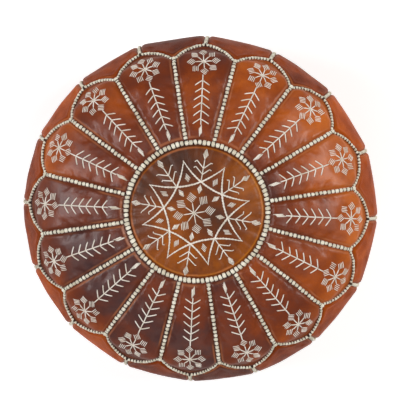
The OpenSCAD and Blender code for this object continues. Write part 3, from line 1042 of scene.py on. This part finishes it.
# Tone by the medallion, halfway, and at the scallop; 0 is light cognac and 1 is plum. Mostly dye, but the
# scallop ends of the petals facing the soft lights, notably the second, ninth and tenth, are lightened as
# painted highlight.
TOP_DYE_AND_HIGHLIGHT = [(0.64, 0.46, 0.02), (0.78, 0.20, 0.06), (0.58, 0.28, 0.12), (0.36, 0.28, 0.22),
             (0.52, 0.52, 0.63), (0.55, 0.67, 0.58), (0.63, 0.50, 0.40), (0.65, 0.62, 0.14),
             (0.64, 0.69, 0.60), (0.59, 0.92, 0.58), (0.74, 0.77, 0.42), (0.69, 0.76, 0.66),
             (0.53, 0.76, 0.66), (0.78, 0.68, 0.54), (0.47, 0.67, 0.34), (0.54, 0.42, 0.12)]


def make_top_panel(k):
    length = float(scallop_s(HALF)) + 0.013 - MEDALLION_S
    level = MEDALLION_S + stations(length, TOP_MIDDLE, RING_WIDE, SCALLOP_WIDE)
    r = outline(level)[0][:, None]
    theta = k * STEP + stations(r[:, 0] * STEP, 34) / r - HALF
    edge = scallop_s(theta)
    s = rows_between(MEDALLION_S + 0 * edge, edge, TOP_MIDDLE, RING_WIDE, SCALLOP_WIDE)
    run = (s - MEDALLION_S) / (edge - MEDALLION_S)
    tone = np.interp(run, [0.08, 0.5, 0.92], TOP_DYE_AND_HIGHLIGHT[k])
    piece = leather_plate(f"petal_leather_{k + 1:02d}", theta, s, tone, LEATHER, DYES[k] + "_leather",
                          f"top_panel_{k + 1:02d}")


for k in range(PETALS):
    make_top_panel(k)


# ---- Medallion ----
# One round piece of ochre-brown hide in the middle. Its edge is folded under, which leaves
# a rolled rim just inside the seam ring, with a painted highlight along its crest.
def bell(away, wide):
    return np.exp(-(away / wide) ** 2)


def make_medallion():
    cols = 288
    theta1 = np.arange(cols) * 2 * math.pi / cols
    near_rim = EDGE_STEPS[::-1] * RING_WIDE
    s1 = np.concatenate([np.linspace(0.0012, MEDALLION_S - 0.013, 40), MEDALLION_S - near_rim])
    s, theta = np.meshgrid(s1, theta1, indexing="ij")
    outer, out, near = leather_at(theta, s)
    rim = MEDALLION_S - s
    roll = 0.0011 * bell(rim - 0.0072, 0.0016) - 0.0004 * bell(rim - 0.0108, 0.0012)
    roll = roll * (1 + 0.35 * waves(theta * MEDALLION_R, 70, (0.017, 0.029, 0.043)))
    outer = outer + out * roll[..., None]
    inner = outer - out * LEATHER_T
    co, faces = slab(outer, inner, closed=True)
    faces = faces.tolist()
    n = s.size
    co = np.vstack([co, outer[0].mean(0), inner[0].mean(0)])
    last_wall = 2 * (len(s1) - 1) * cols
    del faces[last_wall:last_wall + cols]
    faces += [(2 * n, i, (i + 1) % cols) for i in range(cols)]
    faces += [(2 * n + 1, n + (i + 1) % cols, n + i) for i in range(cols)]
    x, y = outer[..., 0], outer[..., 1]
    tone = 0.44 + 0.30 * np.clip((y - 0.7 * x) / 0.09 + 0.1, 0, 1)
    tone = tone - 0.12 * np.clip((x + y - 0.07) / 0.05, 0, 1)
    tone = tone + 0.32 * bell(np.hypot(x - 0.034, y + 0.014), 0.034)
    tone = tone - 0.14 * bell(np.hypot(x + 0.036, y + 0.046), 0.032)
    # Painted highlight: a thin lighter line along the crest of the rolled rim.
    tone = tone - 0.5 * bell(rim - 0.0078, 0.0012)
    tone = np.concatenate([np.tile(tone.ravel(), 2), [tone[0].mean()] * 2])
    seam = np.concatenate([np.tile((near / MM).ravel(), 2), [60, 60]])
    piece = make_piece("medallion_leather", co, faces, OCHRE_LEATHER, "medallion_leather",
                       tone=tone, seam=seam)
    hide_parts("medallion")


make_medallion()


# ---- Overcast seams ----
# The edges of two panels stand together in a low ridge, and waxed cotton thread is wrapped
# over it, three turns to a stitch, with a hole between stitches and the leather there painted near-black as
# shadow.
def seam_frames(theta, s, pitch):
    """Evenly spaced points along a seam, with the run of the seam and the outward direction."""
    path, out = on_form(theta, s)
    path = path + swell_at(theta, s)
    length = np.concatenate([[0], np.cumsum(np.linalg.norm(np.diff(path, axis=0), axis=1))])
    count = max(2, round(length[-1] / pitch))
    at = (np.arange(count) + 0.5) * length[-1] / count

    def read(values, place):
        return np.stack([np.interp(place, length, values[:, i]) for i in range(3)], -1)

    run = read(path, at + 0.0005) - read(path, at - 0.0005)
    run = run / np.linalg.norm(run, axis=1, keepdims=True)
    return read(path, at), run, read(out, at), length[-1] / count


# One stitch of each seam: pitch along the seam, half width, and height over the ridge
RING_STITCH = (0.00681, 0.0039, 0.0031)
PETAL_STITCH = (0.0062, 0.0029, 0.0027)
SCALLOP_STITCH = (0.0051, 0.0023, 0.0025)
SIDE_STITCH = (0.0060, 0.0026, 0.0028)
BASE_STITCH = (0.0066, 0.0026, 0.0024)
VALLEY_KNOT = (0.0062, 0.0033, 0.0030)
LOBES = np.linspace(-0.5, 0.5, 13)
LOBE_TOP = 0.45 + 0.55 * np.abs(np.cos(3 * math.pi * LOBES))
ARCH = np.radians(np.linspace(-112, 112, 11))


def wrap(yarn, point, run, out, length, wide, tall, rng):
    """One stitch: three turns of thread over the ridge, drawn together where they enter the hide."""
    slant = math.radians(rng.normal(7, 6))
    length = length * rng.normal(0.82, 0.05)
    wide = wide * rng.normal(1, 0.06)
    tall = tall * rng.normal(1, 0.08)
    across = np.cross(out, run)
    run, across = (run * math.cos(slant) + across * math.sin(slant),
                   across * math.cos(slant) - run * math.sin(slant))
    point = point + across * rng.normal(0, 0.00022) + run * rng.normal(0, 0.00018)
    drawn = 0.45 + 0.55 * np.cos(ARCH * 0.78)
    thick = 0.00075 * (0.75 + 0.25 * np.cos(ARCH * 0.8))
    spine = np.cos(ARCH)[:, None] * out * (tall - 0.0007) + np.sin(ARCH)[:, None] * across * (wide - 0.0006)
    facing = np.cos(ARCH)[:, None] * out + np.sin(ARCH)[:, None] * across
    top = (point + spine)[:, None] + (drawn[:, None] * LOBES[None] * length)[..., None] * run \
        + (thick[:, None] * LOBE_TOP[None])[..., None] * facing[:, None]
    back = (point + spine)[:, None] - (thick[:, None] * 0.5)[..., None] * facing[:, None] \
        + (drawn[:, None] * np.array([0.35, -0.35])[None] * length)[..., None] * run
    rings = np.concatenate([top, back], 1)
    along = np.linspace(0, 8, len(ARCH))
    lay_rings(yarn, rings[:, ::-1], along, rng.random())


def overcast(yarn, theta, s, size, rng):
    """A row of stitches along a seam."""
    pitch, wide, tall = size
    points, run, out, length = seam_frames(theta, s, pitch)
    for k in range(len(points)):
        wrap(yarn, points[k] - out[k] * 0.0006, run[k], out[k], length, wide, tall, rng)


def medallion_ring():
    yarn, rng = new_yarn(), np.random.default_rng(101)
    theta = np.linspace(0, 2 * math.pi, 721)
    overcast(yarn, theta, np.full(theta.shape, MEDALLION_S), RING_STITCH, rng)
    tie_off(yarn, "ring_wraps", SEAM_THREAD, "seam_thread", "medallion_seam")


def petal_lines():
    yarn, rng = new_yarn(), np.random.default_rng(102)
    end = float(scallop_s(HALF))
    s = np.linspace(MEDALLION_S + 0.0042, end + 0.0004, 120)
    for k in range(PETALS):
        overcast(yarn, np.full(s.shape, (k + 0.5) * STEP), s, PETAL_STITCH, rng)
        knot = seam_frames(np.full(2, (k + 0.5) * STEP), np.array([end + 0.0012, end + 0.0062]), 0.01)
        wrap(yarn, *[part[0] for part in knot[:3]], *VALLEY_KNOT, rng)
    tie_off(yarn, "petal_seam_wraps", SEAM_THREAD, "seam_thread", "radial_seams")


def scallops():
    yarn, rng = new_yarn(), np.random.default_rng(103)
    for k in range(PETALS):
        for a0, a1 in ((-HALF + 0.011, -0.004), (0.004, HALF - 0.011)):
            theta = k * STEP + np.linspace(a0, a1, 60)
            overcast(yarn, theta, scallop_s(theta), SCALLOP_STITCH, rng)
    tie_off(yarn, "scallop_wraps", SEAM_THREAD, "seam_thread", "scallop_seams")


def side_lines():
    rng = np.random.default_rng(104)
    s = np.linspace(float(scallop_s(0)) + 0.001, BASE_S - 0.004, 200)
    for name, first in (("side_seam_wraps_front", 0), ("side_seam_wraps_back", PETALS // 2)):
        yarn = new_yarn()
        for k in range(first, first + PETALS // 2):
            overcast(yarn, np.full(s.shape, k * STEP), s, SIDE_STITCH, rng)
        tie_off(yarn, name, SEAM_THREAD, "seam_thread", "side_seams")


def base_ring():
    yarn, rng = new_yarn(), np.random.default_rng(105)
    theta = np.linspace(0, 2 * math.pi, 721)
    pitch, wide, tall = BASE_STITCH
    points, run, _, length = seam_frames(theta, np.full(theta.shape, BASE_S), pitch)
    for k in range(len(points)):
        lifted = points[k] * [1, 1, 0] + [0, 0, 0.0031]
        wrap(yarn, lifted, run[k], np.array([0, 0, -1.0]), length, wide, tall, rng)
    tie_off(yarn, "base_wraps", SEAM_THREAD, "seam_thread", "base_seam")


medallion_ring()
petal_lines()
scallops()
side_lines()
base_ring()


# ---- Petal embroidery ----
# Each petal carries the same motif in cream silk: a slim diamond by the medallion, a stem
# with six pairs of barbs, and a flower of eight satin-stitched petals on spokes.
SILK_R = 0.00074
SATIN_R = 0.00061


def petal_ground(centre):
    """Turns places drawn on a petal, length down the outline and width across, into skin places."""
    def place(p):
        return centre + p[1] / float(outline(p[0])[0]), p[0]
    return place


def disc_ground(p):
    """Turns x and y on the medallion into skin places."""
    return math.atan2(p[1], p[0]), math.hypot(p[0], p[1])


def stitch(yarn, ground, p, q, rng, radius=SILK_R, wobble=0.00012):
    """One straight stitch between two places, its ends sunk in the hide."""
    p = np.asarray(p) + rng.normal(0, wobble, 2)
    q = np.asarray(q) + rng.normal(0, wobble, 2)
    t = np.linspace(0, 1, 6)
    theta, s = np.array([ground(p + (q - p) * u) for u in t]).T
    theta = np.unwrap(theta)
    place, out, _ = leather_at(theta, s)
    lift = radius * 0.7 - (radius + 0.0004) * np.abs(2 * t - 1) ** 8
    strand(yarn, place + out * lift[:, None], out, radius, rng.random(), 7)


def satin_patch(yarn, ground, centre, angle, thread, stack, threads, rng):
    """Parallel stitches along one vector, set side by side along another; both turn with the angle."""
    u = np.array([math.cos(angle), math.sin(angle)])
    v = np.array([-u[1], u[0]])
    thread, stack = u * thread[0] + v * thread[1], u * stack[0] + v * stack[1]
    for k in range(threads):
        middle = np.asarray(centre) + stack * ((k + 0.5) / threads - 0.5)
        reach = 0.5 * (1 + rng.normal(0, 0.06))
        stitch(yarn, ground, middle - thread * reach, middle + thread * reach, rng, SATIN_R)


def diamond(yarn, ground, centre, angle, long, wide, threads, rng):
    """A diamond of slanted stitches, laid along one of its sides."""
    satin_patch(yarn, ground, centre, angle, (long / 2, wide / 2), (long / 2, -wide / 2), threads, rng)


def flower(yarn, ground, centre, turn, petal_at, size, threads, spoke, rng):
    """Eight satin petals round a middle, each joined to it by a spoke."""
    for k in range(8):
        angle = turn + k * math.pi / 4
        u = np.array([math.cos(angle), math.sin(angle)])
        diamond(yarn, ground, centre + u * petal_at, angle, size, size * 0.88, threads, rng)
        stitch(yarn, ground, centre + u * 0.0006, centre + u * spoke, rng, SILK_R * 1.1)


FLOWER_S = float(length_to(0.2325))
# Reach of a flower, length of its satin petals, stitches in each, and length of a spoke
PETAL_FLOWER = (0.0184, 0.0154, 4, 0.0116)
STEM_START = 0.1332
BARB_ROOTS = [0.1425, 0.1548, 0.1668, 0.1785, 0.1900, 0.2018]
BARB = np.array([-0.0076, 0.0116])
SLIM_DIAMOND = [(0.1240, 0), 0, (0.0132, 0.0008), (0.0068, -0.0044), 4]


def sew_petal(k):
    yarn, rng = new_yarn(), np.random.default_rng(200 + k)
    ground = petal_ground(k * STEP)
    sway = rng.normal(0, 0.0006)
    middle = np.array([FLOWER_S + rng.normal(0, 0.0008), sway])
    flower(yarn, ground, middle, rng.normal(0, 0.05), *PETAL_FLOWER, rng)
    knots = [STEM_START] + BARB_ROOTS + [middle[0] - PETAL_FLOWER[0] - 0.0066]
    stem = [np.array([a, sway * (a - STEM_START) / 0.1]) for a in knots]
    for a, b in zip(stem, stem[1:]):
        stitch(yarn, ground, a, b, rng, SILK_R * 1.25)
    for foot in stem[1:-1]:
        for side in (-1, 1):
            tip = foot + BARB * [1, side] * rng.normal(1, 0.05)
            stitch(yarn, ground, foot, tip, rng, SILK_R * 1.2, wobble=0.0003)
    satin_patch(yarn, ground, *SLIM_DIAMOND, rng)
    tie_off(yarn, f"petal_embroidery_{k + 1:02d}", SILK, "embroidery_thread", "petal_embroidery")


for k in range(PETALS):
    sew_petal(k)


# ---- Medallion embroidery ----
# The same silk: a flower in the middle, diamonds round it, an eight-pointed star of two
# interlaced hollow squares in a thick corded line, and a branch in each of its hollows.
STAR_MIDDLE = np.array([-0.0012, -0.0018])
FLOWER_MIDDLE = np.array([-0.0036, -0.0022])
STAR_TURN = math.radians(15.5)
MIDDLE_FLOWER = (0.0238, 0.0178, 5, 0.0152)
# Reaches from the middle, as shares of the medallion's radius
STAR_TIP, STAR_HOLLOW, POINT_DIAMOND = 0.762, 0.270, 0.515
HOLLOW_DIAMOND, BRANCH_DIAMOND = 0.345, 0.852
BRANCH_STEM = (0.470, 0.560, 0.652, 0.775)


def polar(middle, share, angle):
    """A place at a share of the medallion's radius from a middle, at an angle."""
    return middle + MEDALLION_R * share * np.array([math.cos(angle), math.sin(angle)])


def corded_line(yarn, p, mid, q, rng):
    """A hollow side of the star: a curve from tip to tip in rope stitch, thin at both ends."""
    n = 26
    knots = [(1 - t) ** 2 * p + 2 * t * (1 - t) * mid + t * t * q for t in np.linspace(0, 1, n + 1)]
    for k in range(n):
        t = (k + 0.5) / n
        thick = SILK_R * (0.8 + 0.7 * min(1, 4.0 * min(t, 1 - t)))
        run = knots[k + 1] - knots[k]
        side = np.array([-run[1], run[0]]) / np.linalg.norm(run) * thick * 0.55
        p0, q0 = knots[k] - run * 0.25 - side, knots[k + 1] + run * 0.25 + side
        stitch(yarn, disc_ground, p0, q0, rng, thick, 0.0001)


def sew_star(yarn, rng):
    tips = [polar(STAR_MIDDLE, STAR_TIP, STAR_TURN + k * math.pi / 4) for k in range(8)]
    for k in range(8):
        p, q = tips[k], tips[(k + 2) % 8]
        hollow = polar(STAR_MIDDLE, STAR_HOLLOW, STAR_TURN + (k + 1) * math.pi / 4)
        corded_line(yarn, p, hollow, q, rng)
        angle = STAR_TURN + k * math.pi / 4
        centre = polar(STAR_MIDDLE, POINT_DIAMOND, angle)
        diamond(yarn, disc_ground, centre, angle, 0.0150, 0.0085, 4, rng)


def sew_branch(yarn, angle, rng):
    """A stem from the star's crossing outward, with two pairs of hooked barbs and a diamond."""
    u = np.array([math.cos(angle), math.sin(angle)])
    v = np.array([-u[1], u[0]])
    at = [STAR_MIDDLE + MEDALLION_R * share * u for share in BRANCH_STEM]
    for a, b in zip(at, at[1:]):
        stitch(yarn, disc_ground, a, b, rng, SILK_R * 1.15)
    for foot in at[1:3]:
        for side in (-1, 1):
            elbow = foot + (u * 0.0100 + v * side * 0.0112) * rng.normal(1, 0.06)
            stitch(yarn, disc_ground, foot, elbow, rng, SILK_R * 1.1, wobble=0.0003)
            hook = elbow + u * rng.normal(-0.0008, 0.0010) + v * side * 0.0024
            stitch(yarn, disc_ground, elbow, hook, rng, SILK_R)
    centre = polar(STAR_MIDDLE, BRANCH_DIAMOND, angle)
    diamond(yarn, disc_ground, centre, angle, 0.0188, 0.0086, 5, rng)


def sew_medallion():
    yarn, rng = new_yarn(), np.random.default_rng(300)
    flower(yarn, disc_ground, FLOWER_MIDDLE, math.radians(12), *MIDDLE_FLOWER, rng)
    sew_star(yarn, rng)
    for k in range(8):
        angle = STAR_TURN + (k + 0.5) * math.pi / 4
        centre = polar(STAR_MIDDLE, HOLLOW_DIAMOND, angle)
        diamond(yarn, disc_ground, centre, angle, 0.0150, 0.0075, 5, rng)
        sew_branch(yarn, angle, rng)
    tie_off(yarn, "medallion_silk", SILK, "embroidery_thread", "medallion_embroidery")


sew_medallion()
